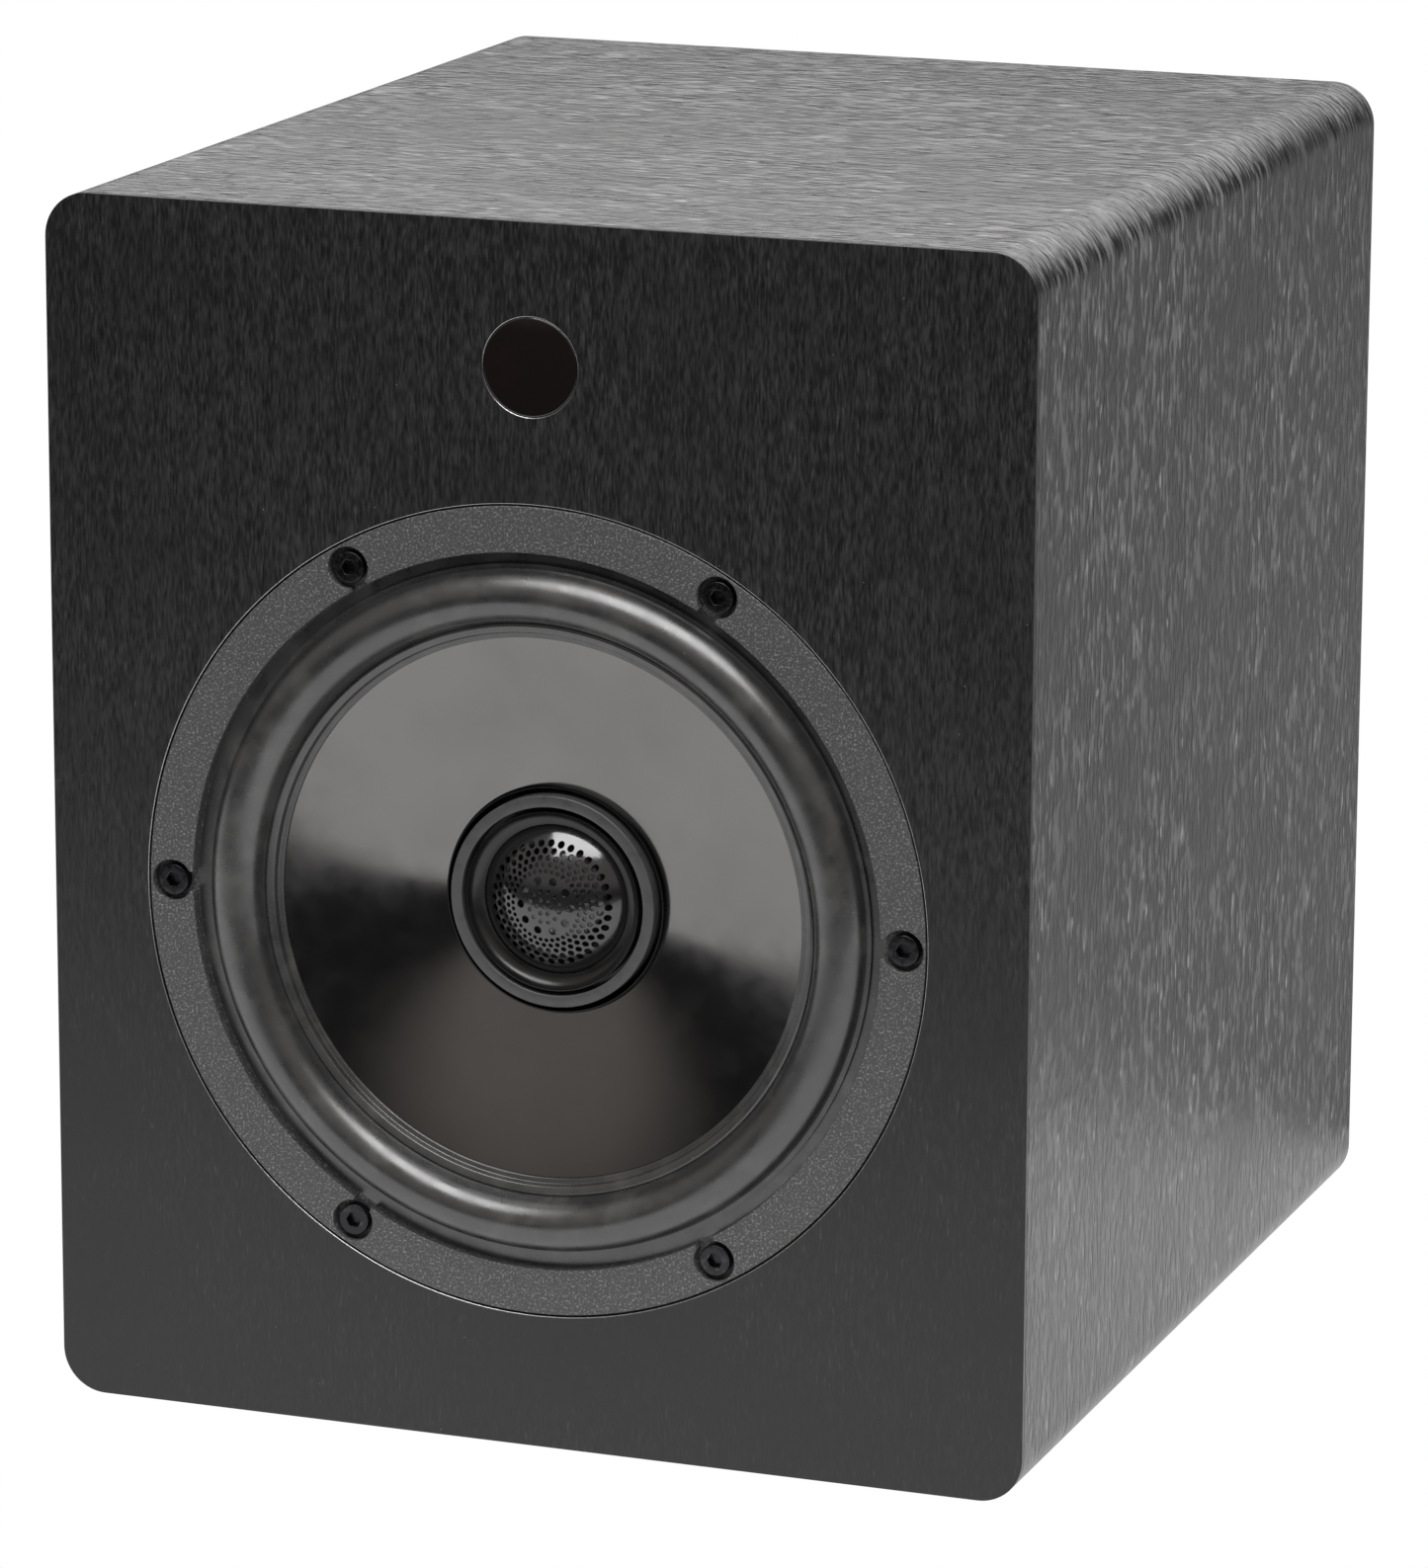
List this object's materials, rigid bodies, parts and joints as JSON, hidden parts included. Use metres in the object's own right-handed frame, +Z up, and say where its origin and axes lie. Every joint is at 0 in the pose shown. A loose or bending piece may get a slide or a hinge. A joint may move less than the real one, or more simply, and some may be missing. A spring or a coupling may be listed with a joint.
{
  "type": "bookshelf speaker",
  "caption": "Active bookshelf speaker: sealed brushed black cabinet with rounded long edges, coaxial driver, sensor window and a finned amplifier plate behind.",
  "frame": {"origin": "on the surface that the cabinet stands on, under the middle of the whole object from surround to heat sink fins", "axes": "+Z up, -Y is the listening side with the driver, +X to the right seen from the front"},
  "size_m": [0.226, 0.2779, 0.272],
  "materials": {
    "brushed_skin": "black anodised and brushed",
    "board": "raw fibreboard",
    "painted_board": "fibreboard painted matt black",
    "wadding": "soft polyester wadding",
    "window": "polished dark acrylic",
    "black_plastic": "moulded, fine grain",
    "circuit_board": "solder mask",
    "red_lens": "clear red",
    "powder_coat": "cast aluminium with a fine textured powder coat",
    "foam": "closed cell foam",
    "black_steel": "black oxide",
    "brass": "turned",
    "surround_rubber": "satin",
    "cone_metal": "black anodised, satin gloss",
    "former_foil": "black anodised foil",
    "copper": "enamelled copper wire",
    "spider_cloth": "impregnated cloth",
    "plated_steel": "zinc plated",
    "ferrite": "sintered ferrite",
    "phenolic": "laminated paper",
    "anodised_ring": "black anodised, turned",
    "guide_plastic": "satin",
    "mesh_enamel": "gloss black enamel",
    "dome_metal": "drawn foil",
    "cable_jacket": "soft jacket",
    "amp_plate_metal": "black anodised",
    "fuse_glass": "clear tube",
    "rocker_plastic": "moulded",
    "latch_metal": "plated",
    "lever_plastic": "moulded",
    "transformer_tape": "steel core and copper under polyester tape",
    "capacitor_sleeve": "shrink sleeve"
  },
  "bodies": {
    "cabinet": {"cabinet_skin": "brushed_skin", "front_plate": "brushed_skin", "front_baffle": "board", "left_panel": "painted_board", "right_panel": "painted_board", "top_panel": "painted_board", "bottom_panel": "painted_board", "rear_panel": "painted_board", "cabinet_brace": "board", "wadding": "wadding", "window_lens": "window", "lens_holder": "black_plastic", "sensor_board": "circuit_board", "ir_receiver": "black_plastic", "status_led": "red_lens", "basket": "powder_coat", "basket_gasket": "foam", "basket_screws": "black_steel", "threaded_inserts": "brass", "surround": "surround_rubber", "spider": "spider_cloth", "top_plate": "plated_steel", "ferrite_magnet": "ferrite", "pole_yoke": "plated_steel", "terminal_strip": "phenolic", "tinsel_leads": "copper", "tweeter_housing": "anodised_ring", "tweeter_waveguide": "guide_plastic", "tweeter_mesh": "mesh_enamel", "tweeter_surround": "surround_rubber", "tweeter_pole_disc": "plated_steel", "tweeter_magnet": "plated_steel", "tweeter_cup": "plated_steel", "tweeter_post": "anodised_ring", "wiring_harness": "cable_jacket", "amp_plate": "amp_plate_metal", "plate_gasket": "foam", "plate_screws": "black_steel", "heat_sink": "amp_plate_metal", "mains_inlet": "black_plastic", "inlet_pins": "brass", "xlr_socket": "black_plastic", "gain_pot": "plated_steel", "trim_switch_bodies": "black_plastic", "amp_board": "circuit_board", "standoffs": "brass", "transformer": "transformer_tape", "capacitors": "capacitor_sleeve"},
    "moving_cone": {"cone": "cone_metal", "coil_former": "former_foil", "coil_winding": "copper"},
    "tweeter_diaphragm": {"tweeter_dome": "dome_metal", "tweeter_coil": "copper"},
    "power_rocker": {"power_rocker": "rocker_plastic"},
    "gain_knob": {"gain_knob": "black_plastic"},
    "low_trim_lever": {"low_trim_lever": "lever_plastic"},
    "high_trim_lever": {"high_trim_lever": "lever_plastic"},
    "xlr_latch": {"xlr_latch": "latch_metal"},
    "fuse_drawer": {"fuse_drawer": "black_plastic", "fuse": "fuse_glass"}
  },
  "joints": [
    {"name": "woofer_travel", "type": "slide", "parent": "cabinet", "child": "moving_cone", "axis": [0, -1, 0], "range_m": [-0.006, 0.006], "stiffness_N_per_m": 1200, "deforming": ["surround", "spider", "tinsel_leads"]},
    {"name": "tweeter_travel", "type": "slide", "parent": "cabinet", "child": "tweeter_diaphragm", "axis": [0, -1, 0], "range_m": [-0.0004, 0.0004], "stiffness_N_per_m": 400, "deforming": ["tweeter_surround"]},
    {"name": "power_switch", "type": "hinge", "parent": "cabinet", "child": "power_rocker", "pos_m": [0.046, 0.12145, 0.098], "axis": [1, 0, 0], "range_deg": [-20, 0]},
    {"name": "gain_turn", "type": "hinge", "parent": "cabinet", "child": "gain_knob", "pos_m": [-0.046, 0.12295, 0.132], "axis": [0, 1, 0], "range_deg": [-150, 150]},
    {"name": "low_trim", "type": "slide", "parent": "cabinet", "child": "low_trim_lever", "axis": [1, 0, 0], "range_m": [-0.002, 0.002]},
    {"name": "high_trim", "type": "slide", "parent": "cabinet", "child": "high_trim_lever", "axis": [1, 0, 0], "range_m": [-0.002, 0.002]},
    {"name": "latch_press", "type": "slide", "parent": "cabinet", "child": "xlr_latch", "axis": [0, -1, 0], "range_m": [0, 0.001], "stiffness_N_per_m": 150, "springref_m": -0.001},
    {"name": "drawer_pull", "type": "slide", "parent": "cabinet", "child": "fuse_drawer", "axis": [0, 1, 0], "range_m": [0, 0.022]}
  ]
}
